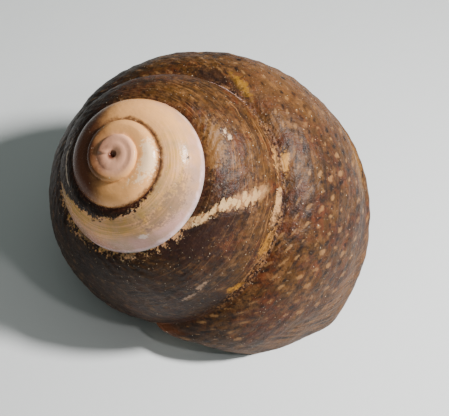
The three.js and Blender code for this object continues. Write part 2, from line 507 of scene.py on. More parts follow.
@dataclass
class ShellBody:
    """The whole shell: skin, lip, hollow, pillar and closed umbilicus as one surface.

    Lengths are in millimetres and places along the spiral in turns.
    """

    growth: Growth = field(default_factory=Growth)
    pose: RestingPose = field(default_factory=RestingPose)
    relief: Relief = field(default_factory=Relief)
    wear: Wear = field(default_factory=Wear)
    first_line: float = -2.38
    lip_line: float = 2.28
    whorl: float = 0.88
    steps_per_whorl: int = 176
    flank_columns: int = 60
    base_columns: int = 36
    turn_length: float = 75.0
    flank_stretch: float = 1.15
    base_width: float = 12.0
    bare_span: Span = (-0.04, 0.06)
    bare_stray: float = 0.08
    bare_pitch: float = 1.1
    inward_way: tuple[float, float] = (0.6, 0.8)
    wall: float = 0.9
    lip_share: float = 0.36
    lip_round: float = 0.008
    wall_reach: float = 0.15
    glaze: float = 0.2
    relief_reach: float = 0.06
    pillar_radius: float = 2.1
    pillar_swell: float = 1.1
    pillar_reach: float = 0.1
    pillar_columns: int = 14
    hollow_start: float = 0.1
    hollow_shrink: float = 0.14
    hollow_turns: float = 1.7
    lip_edges: tuple[float, ...] = (0.0, 0.0007, 0.002, 0.004, 0.0065)
    near_edge: float = 0.01
    near_count: int = 30
    far_edge: float = 0.02
    hollow_rings: tuple[float, ...] = (0.3, 0.5)
    pit_rings: tuple[tuple[float, float], ...] = ((0.35, -0.03), (0.28, -0.1575), (0.1575, -0.3825))
    pit_floor: float = -0.45
    tip_height: float = -1.0
    umbilicus_depth: float = 22.5
    umbilicus_rings: tuple[float, ...] = (0.12, 0.16, 0.22, 0.3, 0.4, 0.6)
    umbilicus_reach: float = 3.2
    seam: float = 0.001

    @property
    def base_line(self) -> float:
        """The growth line at which the base comes out from under the mouth."""
        return self.lip_line - self.whorl

    def shares(self, columns: int, start: float) -> tuple[float, ...]:
        """Even places across one unit of the whorl."""
        return tuple(start + j / columns for j in range(columns + 1))

    def lines(self, first: float) -> tuple[float, ...]:
        """The growth lines of the model.

        Args:
            first: The first of them.

        Returns:
            Them all, up to the lip.
        """
        step = self.whorl / self.steps_per_whorl
        count = round((self.lip_line - first) / step)
        return tuple(first + i * step for i in range(count + 1))

    def to_sutures(self, line: float, across: float) -> tuple[float, float]:
        """The distances to the two sutures.

        Args:
            line: The growth line.
            across: The place across it.

        Returns:
            The distance to the upper one and to the lower one, in millimetres.
        """
        width = self.flank_stretch * self.growth.girth(line - self.growth.lag(across))
        past = max(0.0, line - self.base_line) * self.turn_length
        if across > 1.0:
            below = (across - 1.0) * self.base_width
            return width + below, math.hypot(past, below)
        return across * width, math.hypot(past, (1.0 - across) * width)

    def surface(
        self,
        line: float,
        across: float,
        depth: float = 0.0,
        nearest: float = 0.0,
        fade: float = 1.0,
    ) -> Vector:
        """A point of the outside with its relief, or one under it.

        Args:
            line: The growth line.
            across: The place across it.
            depth: How far under the outside the point lies.
            nearest: The nearest that it may come to the axis.
            fade: How much of the relief shows there.

        Returns:
            The point, round the shell's own axis.
        """
        turn = line - self.growth.lag(across)
        if fade <= 0.0:
            return self.growth.point(turn, across, depth, nearest)
        smooth = self.growth.point(turn, across)
        to_suture = min(self.to_sutures(line, across))
        stray = self.bare_stray * noise.noise(smooth * self.bare_pitch)
        bare = smooth_step(*self.bare_span, self.wear.pale(turn, across) + stray)
        inward = self.relief.channel(line, to_suture, smooth)
        height = self.relief.height(line, across, to_suture, bare, smooth)
        point = self.growth.point(turn, across, depth - height * fade, nearest)
        aside, down = self.inward_way
        flat = Vector((smooth.x, smooth.y, 0.0)).normalized()
        return point - (flat * aside + Vector((0.0, 0.0, down))) * inward * fade

    def thickness(self, behind: float) -> float:
        """The wall's share of its full thickness at a distance behind the lip, in turns."""
        lip = self.lip_share * math.sqrt(min(1.0, behind / self.lip_round))
        return lip + (1.0 - self.lip_share) * smooth_step(self.lip_round, self.wall_reach, behind)

    def hollow_edges(self) -> tuple[float, ...]:
        """The rings of the hollow, close together at the lip.

        Returns:
            Their distances behind the lip, in turns.
        """
        near = tuple(self.near_edge * i for i in range(1, self.near_count + 1))
        start = self.near_edge * self.near_count
        count = round((self.hollow_turns - start) / self.far_edge)
        return self.lip_edges + near + tuple(start + self.far_edge * i for i in range(1, count))

    def around_columns(self) -> int:
        """How many columns the hollow has round its section."""
        return self.flank_columns + 2 * self.base_columns + self.pillar_columns + 1

    def outer_wall(self, behind: float, column: float) -> Vector:
        """A point of the hollow's wall under the flank or the base.

        Args:
            behind: How far behind the lip it lies, in turns.
            column: Its place round the hollow's section, in columns.

        Returns:
            The point, round the shell's own axis.
        """
        full = self.thickness(behind)
        if column <= self.flank_columns:
            across = mix(self.hollow_start * full, 1.0, column / self.flank_columns)
        else:
            share = (column - self.flank_columns) / self.base_columns
            across = 1.0 + share * (1.0 - self.hollow_shrink * full)
        fade = 1.0 - smooth_step(0.0, self.relief_reach, behind)
        return self.surface(
            self.lip_line - behind, across, self.wall * full, self.pillar_radius * full, fade)

    def inner_wall(self, behind: float, column: float) -> Vector:
        """A point of the hollow's wall that lies on the whorl before.

        Args:
            behind: How far behind the lip it lies, in turns.
            column: Its place from the middle of that whorl's base to its edge, in columns.

        Returns:
            The point, round the shell's own axis.
        """
        full = self.thickness(behind)
        share = 1.0 - column / self.base_columns
        across = 1.0 + share * (1.0 - self.hollow_shrink * full)
        fade = 1.0 - smooth_step(0.0, self.relief_reach, behind)
        return self.surface(
            self.base_line - behind, across, -self.glaze * full, self.pillar_radius * full, fade)

    def hollow(self, behind: float, column: float) -> Vector:
        """A point of the hollow's wall.

        Args:
            behind: How far behind the lip it lies, in turns.
            column: Its place round the hollow's section, in columns.

        Returns:
            The point, round the shell's own axis.
        """
        outer_end = self.flank_columns + self.base_columns
        pillar_end = outer_end + self.pillar_columns
        if column >= self.around_columns():
            return self.outer_wall(behind, 0.0)
        if column <= outer_end:
            return self.outer_wall(behind, column)
        if column > pillar_end:
            return self.inner_wall(behind, column - pillar_end - 1)
        share = (column - outer_end) / (self.pillar_columns + 1)
        point = self.outer_wall(behind, outer_end).lerp(self.inner_wall(behind, 0.0), share)
        swell = self.pillar_swell * (1.0 - smooth_step(0.0, self.pillar_reach, behind))
        flat = Vector((point.x, point.y, 0.0)).normalized()
        return point + flat * swell * math.sin(math.pi * share)

    def hollow_mark(self, behind: float, column: float) -> tuple[float, float]:
        """The growth coordinates of a point of the hollow.

        Args:
            behind: How far behind the lip it lies, in turns.
            column: Its place round the hollow's section, in columns.

        Returns:
            The place behind the lip, and the place round the section from 0 to 3.
        """
        outer_end = self.flank_columns + self.base_columns
        if column <= self.flank_columns:
            return behind, column / self.flank_columns
        if column <= outer_end:
            return behind, 1.0 + (column - self.flank_columns) / self.base_columns
        return behind, 2.0 + (column - outer_end) / (self.around_columns() - outer_end)

    @staticmethod
    def skin_mark(line: float, across: float) -> tuple[float, float]:
        """The growth coordinates of a point of the outside, which are its own."""
        return line, across

    def lay_sheets(self, bm: BMesh) -> None:
        """Lays the flank, the base and the hollow, and joins them along the sutures and the lip.

        Args:
            bm: The mesh to build in.
        """
        flank = self.shares(self.flank_columns, 0.0)
        base = self.shares(self.base_columns, 1.0)
        around = tuple(float(k) for k in range(self.around_columns() + 1))
        sheets = (
            Sheet(self.lines(self.first_line), flank, self.surface, self.skin_mark, Region.SKIN),
            Sheet(self.lines(self.base_line), base, self.surface, self.skin_mark, Region.SKIN),
            Sheet(self.hollow_edges(), around, self.hollow, self.hollow_mark, Region.NACRE),
        )
        for sheet in sheets:
            sheet.lay(bm)
        bmesh.ops.remove_doubles(bm, verts=bm.verts, dist=0.0005)
        bmesh.ops.dissolve_degenerate(bm, edges=bm.edges, dist=0.0002)

    @staticmethod
    def rims(bm: BMesh) -> list[list[bmesh.types.BMEdge]]:
        """Finds the open rims of a mesh.

        Args:
            bm: The mesh.

        Returns:
            Each rim as its edges.
        """
        left = {e for e in bm.edges if e.is_boundary}
        found = []
        while left:
            rim, ahead = [], [left.pop()]
            while ahead:
                edge = ahead.pop()
                rim.append(edge)
                for near in [n for v in edge.verts for n in v.link_edges if n in left]:
                    left.remove(near)
                    ahead.append(near)
            found.append(rim)
        return found

    @staticmethod
    def draw_in(
        bm: BMesh,
        rim: list[bmesh.types.BMEdge],
        shape: Callable[[Vector], Vector],
        mark: tuple[float, float],
        region: Region,
    ) -> list[bmesh.types.BMEdge]:
        """Extrudes an open rim by one row of faces.

        Args:
            bm: The mesh.
            rim: The rim's edges.
            shape: Where a point of the rim goes.
            mark: The growth coordinates of the new faces.
            region: The new faces' part of the surface.

        Returns:
            The edges of the new rim.
        """
        made = bmesh.ops.extrude_edge_only(bm, edges=rim)["geom"]
        fresh = {g for g in made if isinstance(g, BMVert)}
        for vert in fresh:
            vert.co = shape(vert.co)
        growth = bm.loops.layers.uv["growth"]
        for bm_face in (g for g in made if isinstance(g, BMFace)):
            bm_face.material_index = region.value
            bm_face.smooth = True
            for loop in bm_face.loops:
                loop[growth].uv = mark
        edges = [g for g in made if isinstance(g, bmesh.types.BMEdge)]
        return [e for e in edges if e.verts[0] in fresh and e.verts[1] in fresh]

    def gather(
        self,
        bm: BMesh,
        rim: list[bmesh.types.BMEdge],
        middle: Vector,
        shares: tuple[float, ...],
        mark: tuple[float, float],
        region: Region,
    ) -> None:
        """Closes an open rim with rows of faces that draw in to one point.

        Args:
            bm: The mesh.
            rim: The rim's edges.
            middle: The point.
            shares: How far each row goes of what is left of the way.
            mark: The growth coordinates of the new faces.
            region: The new faces' part of the surface.
        """
        for share in shares:
            rim = self.draw_in(bm, rim, lambda at, s=share: at.lerp(middle, s), mark, region)
        last = self.draw_in(bm, rim, lambda at: middle.copy(), mark, region)
        bmesh.ops.remove_doubles(bm, verts=list({v for e in last for v in e.verts}), dist=self.seam)

    @staticmethod
    def ring_point(at: Vector, reach: float, height: float) -> Vector:
        """A point of a level ring round the axis, in the direction of another point."""
        flat = Vector((at.x, at.y, 0.0)).normalized() * reach
        return Vector((flat.x, flat.y, height))

    def close_tip(self, bm: BMesh, rim: list[bmesh.types.BMEdge]) -> None:
        """Closes the tip with a narrow shelf round a shallow pit.

        Args:
            bm: The mesh.
            rim: The edges of the open tip.
        """
        mark = (self.first_line, 0.0)
        for reach, height in self.pit_rings:
            rim = self.draw_in(
                bm, rim, lambda at, r=reach, h=height: self.ring_point(at, r, h), mark, Region.SKIN)
        self.gather(bm, rim, Vector((0.0, 0.0, self.pit_floor)), (), mark, Region.SKIN)

    def close_ends(self, bm: BMesh) -> None:
        """Closes the tip, the umbilicus with its thick callus, and the innermost end of the hollow.

        Args:
            bm: The mesh with its three open rims.
        """
        for rim in self.rims(bm):
            verts = {v for e in rim for v in e.verts}
            middle = sum((v.co for v in verts), Vector()) / len(verts)
            if middle.z > self.tip_height:
                self.close_tip(bm, rim)
            elif max(math.hypot(v.co.x, v.co.y) for v in verts) < self.umbilicus_reach:
                callus = Vector((0.0, 0.0, -self.umbilicus_depth))
                self.gather(bm, rim, callus, self.umbilicus_rings, (0.0, 3.0), Region.NACRE)
            else:
                mark = (self.hollow_turns, 0.5)
                self.gather(bm, rim, middle, self.hollow_rings, mark, Region.NACRE)

    def write_marks(self, bm: BMesh) -> None:
        """Writes the maps that the finish reads: the age, the wear and the distance to each suture.

        Args:
            bm: The mesh.
        """
        growth = bm.loops.layers.uv["growth"]
        age = bm.loops.layers.uv.new("age")
        wear = bm.loops.layers.uv.new("wear")
        sutures = bm.loops.layers.uv.new("sutures")
        known: dict[tuple[float, float], tuple[tuple[float, float], ...]] = {}
        for bm_face in bm.faces:
            if bm_face.material_index != Region.SKIN.value:
                continue
            for loop in bm_face.loops:
                line, across = loop[growth].uv
                if (line, across) not in known:
                    turn = line - self.growth.lag(across)
                    upper, lower = self.to_sutures(line, across)
                    rough = self.wear.rough(line, across, upper, lower)
                    known[line, across] = (
                        (turn, turn + across),
                        (self.wear.pale(turn, across), rough),
                        (upper, lower),
                    )
                loop[age].uv, loop[wear].uv, loop[sutures].uv = known[line, across]

    @staticmethod
    def cut_flat(bm: BMesh) -> None:
        """Cuts off what lies below the surface that the shell rests on, and fills the cut.

        Args:
            bm: The mesh in the part's frame.
        """
        everything = [*bm.verts, *bm.edges, *bm.faces]
        ground, up = Vector(), Vector((0.0, 0.0, 1.0))
        bmesh.ops.bisect_plane(
            bm, geom=everything, dist=1e-8, plane_co=ground, plane_no=up, clear_inner=True)
        rim = [e for e in bm.edges if e.is_boundary]
        maps = bm.loops.layers.uv.values()
        for bm_face in bmesh.ops.holes_fill(bm, edges=rim, sides=0)["faces"]:
            beside = []
            for loop in bm_face.loops:
                near = [n for n in loop.vert.link_loops if n.face is not bm_face]
                beside += [n.face.material_index for n in near]
                for chart in maps:
                    loop[chart].uv = near[0][chart].uv
            inside = 2 * beside.count(Region.NACRE.value) > len(beside)
            bm_face.material_index = Region.NACRE.value if inside else Region.SKIN.value

    def build(self) -> bpy.types.Object:
        """Builds the shell in the part's frame.

        Returns:
            The finished object, without its materials.
        """
        bm = bmesh.new()
        bm.loops.layers.uv.new("growth")
        self.lay_sheets(bm)
        self.close_ends(bm)
        bmesh.ops.recalc_face_normals(bm, faces=bm.faces)
        self.write_marks(bm)
        bmesh.ops.transform(bm, matrix=self.pose.matrix(), verts=bm.verts)
        self.cut_flat(bm)
        bmesh.ops.triangulate(bm, faces=[f for f in bm.faces if len(f.verts) > 4])
        open_edges = sum(1 for e in bm.edges if not e.is_manifold)
        mesh = bpy.data.meshes.new("shell_surface")
        bm.to_mesh(mesh)
        bm.free()
        shell = bpy.data.objects.new("shell_surface", mesh)
        bpy.context.scene.collection.objects.link(shell)
        LOG.info("shell: %d vertices, %d faces, %d edges that aren't closed",
                 len(mesh.vertices), len(mesh.polygons), open_edges)
        return shell

    def dress(self, shell: bpy.types.Object, finishes: dict[Region, bpy.types.Material]) -> None:
        """Gives each region its finish and sets the shell on the part's body.

        Args:
            shell: The finished object.
            finishes: The material of each region.
        """
        for region in Region:
            shell.data.materials.append(finishes[region])
        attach(shell, "root")
        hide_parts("shell")


Colour = tuple[float, float, float, float]


def linear(level: int) -> float:
    """One channel in linear light, from its level on a screen."""
    share = level / 255.0
    return share / 12.92 if share <= 0.04045 else ((share + 0.055) / 1.055) ** 2.4


def paint(red: int, green: int, blue: int) -> Colour:
    """A colour as a shader takes it, from its red, green and blue as a screen shows them."""
    return linear(red), linear(green), linear(blue), 1.0


DEEP_BROWN = paint(20, 9, 6)
TAN = paint(122, 82, 46)
LILAC = paint(188, 142, 128)


@dataclass(frozen=True)
class Signal:
    """A number, place or colour that a material works out, used in sums like a plain number."""

    bench: "Bench"
    socket: bpy.types.NodeSocket

    def __add__(self, other: "Value") -> "Signal":
        """This number and another together."""
        return self.bench.sum("ADD", self, other)

    def __sub__(self, other: "Value") -> "Signal":
        """This number less another."""
        return self.bench.sum("SUBTRACT", self, other)

    def __rsub__(self, other: float) -> "Signal":
        """A plain number less this one."""
        return self.bench.sum("SUBTRACT", other, self)

    def __mul__(self, other: "Value") -> "Signal":
        """This number times another."""
        return self.bench.sum("MULTIPLY", self, other)

    def __pow__(self, other: "Value") -> "Signal":
        """This number raised to a power."""
        return self.bench.sum("POWER", self, other)

    def __mod__(self, other: "Value") -> "Signal":
        """What is left of this number when it is divided by another."""
        return self.bench.sum("MODULO", self, other)

    def __abs__(self) -> "Signal":
        """This number without its sign."""
        return self.bench.sum("ABSOLUTE", self)

    def whole(self) -> "Signal":
        """The whole number at or below this one."""
        return self.bench.sum("FLOOR", self)

    def rest(self) -> "Signal":
        """How far this number lies above a whole one."""
        return self.bench.sum("FRACT", self)


Value = Signal | float


class Bench:
    """Makes and joins the nodes of one material."""

    def __init__(self, name: str) -> None:
        """Starts an empty material.

        Args:
            name: The material's name.
        """
        self.material = bpy.data.materials.new(name)
        self.material.use_nodes = True
        self.tree = self.material.node_tree
        self.tree.nodes.clear()

    def node(
        self, kind: str, inputs: dict[int | str, Value | Colour], **settings: object
    ) -> bpy.types.Node:
        """Adds a node.

        Args:
            kind: The node's type.
            inputs: What goes into its sockets, a constant or another node's result.
            settings: The node's own settings.

        Returns:
            The node.
        """
        node = self.tree.nodes.new(kind)
        for name, setting in settings.items():
            setattr(node, name, setting)
        for place, value in inputs.items():
            if isinstance(value, Signal):
                self.tree.links.new(value.socket, node.inputs[place])
            else:
                node.inputs[place].default_value = value
        return node

    def add(
        self,
        kind: str,
        inputs: dict[int | str, Value | Colour],
        result: int | str = 0,
        **settings: object,
    ) -> Signal:
        """Adds a node and gives one of its results."""
        return Signal(self, self.node(kind, inputs, **settings).outputs[result])

    def sum(self, operation: str, *values: Value) -> Signal:
        """The result of one step of arithmetic."""
        return self.add("ShaderNodeMath", dict(enumerate(values)), operation=operation)

    def larger(self, first: Value, second: Value) -> Signal:
        """The larger of two numbers."""
        return self.sum("MAXIMUM", first, second)

    def smaller(self, first: Value, second: Value) -> Signal:
        """The smaller of two numbers."""
        return self.sum("MINIMUM", first, second)

    def away(self, along: Signal, aside: Signal) -> Signal:
        """The distance from the middle of a pattern, from the distances along and across it."""
        return self.sum("SQRT", along**2.0 + aside**2.0)

    def rise(self, value: Value, span: Span) -> Signal:
        """A smooth rise from 0 to 1 across a span, or a fall where the span runs downwards.

        Args:
            value: What goes through the span.
            span: Where it starts and where it is complete.

        Returns:
            From 0 at the span's first number to 1 at its second.
        """
        upwards = span[0] < span[1]
        inputs = {0: value, 1: min(span), 2: max(span), 3: float(not upwards), 4: float(upwards)}
        return self.add("ShaderNodeMapRange", inputs, interpolation_type="SMOOTHSTEP")

    def parts(self, source: Signal) -> tuple[Signal, Signal]:
        """The first two coordinates of a place."""
        return tuple(self.add("ShaderNodeSeparateXYZ", {0: source}, i) for i in (0, 1))

    def chart(self, name: str) -> tuple[Signal, Signal]:
        """The two coordinates of one of the shell's own maps."""
        return self.parts(self.add("ShaderNodeUVMap", {}, uv_map=name))

    def spread(self, x: Value, y: Value, z: Value = 0.0) -> Signal:
        """Three numbers as a place in a pattern."""
        return self.add("ShaderNodeCombineXYZ", {0: x, 1: y, 2: z})

    def space(self) -> Signal:
        """The place on the shell in its own space, in metres."""
        return self.add("ShaderNodeTexCoord", {}, "Object")

    def grain(self, at: Value, scale: float, detail: float = 3.0, rough: float = 0.55) -> Signal:
        """A cloudy pattern from 0 to 1."""
        inputs = {"Vector": at, "Scale": scale, "Detail": detail, "Roughness": rough}
        return self.add("ShaderNodeTexNoise", inputs)

    def stray(
        self, at: Value, size: float, scale: float, detail: float = 3.0, rough: float = 0.55
    ) -> Signal:
        """A cloudy number that strays by half a size to either side of zero."""
        return (self.grain(at, scale, detail, rough) - 0.5) * size

    def chance(self, x: Value, y: Value) -> Signal:
        """A number from 0 to 1 that differs from one whole step to the next."""
        return self.add("ShaderNodeTexWhiteNoise", {0: self.spread(x, y)}, noise_dimensions="2D")

    def blend(self, share: Value, first: Signal | Colour, second: Signal | Colour) -> Signal:
        """A colour between two others."""
        return self.add("ShaderNodeMix", {0: share, 6: first, 7: second}, 2, data_type="RGBA")

    def relief(self, height: Value, size: float) -> Signal:
        """A bumpy normal, from a height of 0 to 1 that stands for a size in metres."""
        return self.add("ShaderNodeBump", {"Height": height, "Distance": size, "Strength": 1.0})

    def finish(self, inputs: dict[int | str, Value | Colour]) -> bpy.types.Material:
        """Ends the material in one shader and gives it back."""
        self.node("ShaderNodeOutputMaterial", {0: self.add("ShaderNodeBsdfPrincipled", inputs)})
        return self.material


@dataclass(frozen=True)
class Patches:
    """A layer of soft uneven patches in one colour."""

    scale: float
    span: Span
    strength: float
    colour: Colour
    detail: float = 3.0
    rough: float = 0.55

    def share(self, bench: Bench, at: Signal) -> Signal:
        """Where the patches show, from 0 to 1."""
        return bench.rise(bench.grain(at, self.scale, self.detail, self.rough), self.span)

    def over(self, bench: Bench, at: Signal, colour: Signal | Colour) -> Signal:
        """A colour with the patches laid over it."""
        return bench.blend(self.share(bench, at) * self.strength, colour, self.colour)


@dataclass(frozen=True)
class PaintedSideLight:
    """Painted light and shade: a broad blend to a lighter or darker colour towards one side of the
    shell, with its spans in metres.
    """

    strength: float
    colour: Colour
    right: Span
    back: Span | None = None

    def over(self, bench: Bench, right: Signal, back: Signal, colour: Signal) -> Signal:
        """Lays the painted light and shade over a colour.

        Args:
            bench: The material's bench.
            right: The place from left to right.
            back: The place from front to back.
            colour: The colour under the painted light and shade.

        Returns:
            The colour with the painted light and shade.
        """
        share = bench.rise(right, self.right)
        if self.back is not None:
            share = bench.rise(back, self.back) * share
        return bench.blend(share * self.strength, colour, self.colour)


@dataclass(frozen=True)
class Blotch:
    """One stain, chip or painted highlight of the outside, round or long, with a ragged edge."""

    line: float
    across: float
    half_line: float
    half_across: float
    colour: Colour
    strength: float = 0.8
    edge: Span = (1.25, 0.55)

    def over(
        self, bench: Bench, line: Signal, across: Signal, ragged: Signal, colour: Signal
    ) -> Signal:
        """Lays the blotch over a colour.

        Args:
            bench: The material's bench.
            line: The growth line.
            across: The place across it.
            ragged: A small uneven number that breaks up the edge.
            colour: The colour under the blotch.

        Returns:
            The colour with the blotch.
        """
        along = (line - self.line) * (1.0 / self.half_line)
        aside = (across - self.across) * (1.0 / self.half_across)
        inside = bench.rise(bench.away(along, aside) + ragged, self.edge)
        return bench.blend(inside * self.strength, colour, self.colour)


@dataclass(frozen=True)
class BrownCoat:
    """The unworn colour: clouds of browns with growth streaks and spiral striae, and broad painted
    light and shade towards the sides.
    """

    ground: Colour = paint(76, 36, 12)
    clouds: tuple[Patches, ...] = (
        Patches(1100.0, (0.38, 0.62), 1.0, paint(60, 36, 18), 4.0, 0.65),
        Patches(280.0, (0.4, 0.62), 0.75, paint(80, 50, 12)),
        Patches(760.0, (0.46, 0.64), 0.5, TAN, 4.0, 0.75),
        Patches(430.0, (0.55, 0.7), 0.5, paint(104, 48, 22), 3.0, 0.7),
    )
    shade: Patches = Patches(9.0, (0.46, 0.66), 0.55, DEEP_BROWN, 3.0, 0.6)
    shade_slice: float = 4.0
    flecks: Patches = Patches(2300.0, (0.5, 0.66), 0.6, DEEP_BROWN, 3.0, 0.6)
    streaks: Patches = Patches(1.0, (0.54, 0.72), 0.5, DEEP_BROWN)
    streaks_per_turn: float = 190.0
    streak_breaks: float = 6.0
    grooves: Patches = Patches(1.0, (0.52, 0.7), 0.45, DEEP_BROWN, 2.0)
    groove_breaks: float = 14.0
    groove_rows: float = 62.0
    striae: Patches = Patches(1.0, (0.42, 0.3), 0.5, paint(150, 104, 62), 2.0)
    striae_end: Span = (1.7, 1.35)
    # Painted light and shade: lighter towards the upper back, darker on the right side, on the
    # front left of the middle and on the left side, with uneven edges.
    side_light_scale: float = 400.0
    side_light_stray: float = 0.003
    painted_side_light: tuple[PaintedSideLight, ...] = (
        PaintedSideLight(0.4, TAN, (0.0, 0.006), (-0.001, 0.007)),
        PaintedSideLight(0.25, DEEP_BROWN, (0.006, 0.012)),
        PaintedSideLight(0.6, DEEP_BROWN, (0.007, 0.0), (-0.004, -0.009)),
        PaintedSideLight(0.65, DEEP_BROWN, (-0.0035, -0.0095)),
    )

    def lay(self, bench: Bench, line: Signal, across: Signal) -> Signal:
        """Lays the coat and its painted light and shade.

        Args:
            bench: The material's bench.
            line: The growth line.
            across: The place across it.

        Returns:
            The colour.
        """
        at = bench.space()
        colour: Signal | Colour = self.ground
        for cloud in self.clouds:
            colour = cloud.over(bench, at, colour)
        colour = self.shade.over(bench, bench.spread(line, across, self.shade_slice), colour)
        colour = self.flecks.over(bench, at, colour)
        stretched = bench.spread(line * self.streaks_per_turn, across * self.streak_breaks)
        colour = self.streaks.over(bench, stretched, colour)
        rings = bench.spread(line * self.groove_breaks, across * self.groove_rows)
        colour = self.grooves.over(bench, rings, colour)
        light = self.striae.share(bench, rings) * bench.rise(line, self.striae_end)
        colour = bench.blend(light * self.striae.strength, colour, self.striae.colour)
        # Painted light and shade, laid by the shell's place from left to right and from front to
        # back.
        uneven = bench.grain(at, self.side_light_scale) * self.side_light_stray
        right, back = (side + uneven for side in bench.parts(at))
        for side_light in self.painted_side_light:
            colour = side_light.over(bench, right, back, colour)
        return colour


@dataclass(frozen=True)
class SpotRows:
    """The rows of alternating pale and dark spots."""

    rows: float = 9.3
    pairs_per_turn: float = 54.0
    bend: float = 0.6
    bend_scale: float = 500.0
    shift: float = 2.0
    narrow: float = 5.4
    short: float = 3.6
    fuzz: float = 2.2
    fuzz_scale: float = 3600.0
    size: float = 1.15
    edge: Span = (0.65, -0.45)
    patch_scale: float = 260.0
    patch_span: Span = (0.36, 0.58)
    patch_share: float = 0.6
    start: Span = (1.25, 2.0)
    strength: float = 0.44
    least: float = 0.18
    dark_extra: float = 0.25
    pale: Colour = paint(142, 102, 62)
    dark: Colour = paint(20, 10, 7)

    def over(self, bench: Bench, line: Signal, across: Signal, colour: Signal) -> Signal:
        """Lays the spots over a colour.

        Args:
            bench: The material's bench.
            line: The growth line.
            across: The place across it.
            colour: The colour under the spots.

        Returns:
            The colour with its spots.
        """
        at = bench.space()
        bend = bench.stray(at, self.bend, self.bend_scale, 2.0)
        high = across * self.rows + bend
        row = high.whole()
        long = line * (2.0 * self.pairs_per_turn) + (bench.chance(row, 0.5) * self.shift + bend)
        step = long.whole()
        away = bench.away((high.rest() - 0.5) * self.narrow, (long.rest() - 0.5) * self.short)
        fuzz = bench.stray(at, self.fuzz, self.fuzz_scale, 2.0)
        spot = bench.rise(away + fuzz - bench.chance(step, row) * self.size, self.edge)
        patchy = bench.rise(bench.grain(at, self.patch_scale, 2.0), self.patch_span)
        patchy = patchy * self.patch_share + (1.0 - self.patch_share)
        shown = bench.rise(line, self.start) * patchy
        odd = bench.rise(abs(step) % 2.0, (0.4, 0.6))
        shown = shown * self.strength + self.least + odd * self.dark_extra
        return bench.blend(spot * shown, colour, bench.blend(odd, self.pale, self.dark))


@dataclass(frozen=True)
class ChippedLine:
    """The broken growth line on the whorl above the last: a tan band with a row of cream chips."""

    line: float = 1.13
    slant: float = 0.02
    rows: float = 17.0
    bend: float = 1.8
    bend_scale: float = 700.0
    least_half: float = 0.003
    more_half: float = 0.009
    back: float = 0.008
    spread: float = 0.012
    crumb: float = 0.03
    crumb_scale: float = 3000.0
    chip_edge: Span = (0.0025, -0.0015)
    chip_end: Span = (1.1, 0.2)
    band_back: float = 0.002
    drift: float = 0.05
    drift_scale: float = 1500.0
    band_edge: Span = (0.014, 0.004)
    ends: Span = (0.84, 0.68)
    strength: float = 0.8
    tan: Colour = paint(150, 106, 66)
    cream: Colour = paint(204, 164, 112)

    def over(self, bench: Bench, line: Signal, across: Signal, colour: Signal) -> Signal:
        """Lays the band and its chips over a colour.

        Args:
            bench: The material's bench.
            line: The growth line.
            across: The place across it.
            colour: The colour under the chips.

        Returns:
            The colour with the band and the chips.
        """
        at = bench.space()
        high = across * self.rows + bench.grain(at, self.bend_scale) * self.bend
        row = high.whole()
        lens = 1.0 - (high.rest() * 2.0 - 1.0) ** 2.0
        half = (bench.chance(row, 3.0) * self.more_half + self.least_half) * lens
        place = bench.chance(row, 7.0) * self.spread + (self.line - self.back) - across * self.slant
        crumb = bench.stray(at, self.crumb, self.crumb_scale)
        chip = bench.rise(abs(line - place) - half + crumb, self.chip_edge)
        chip = chip * bench.rise(across, self.chip_end)
        middle = (self.line - self.band_back) - across * self.slant
        drift = bench.stray(at, self.drift, self.drift_scale, 4.0, 0.7)
        band = bench.rise(abs(line - middle + drift), self.band_edge)
        ends = bench.rise(across, self.ends)
        colour = bench.blend(band * ends * self.strength, colour, self.tan)
        return bench.blend(chip * ends * self.strength, colour, self.cream)


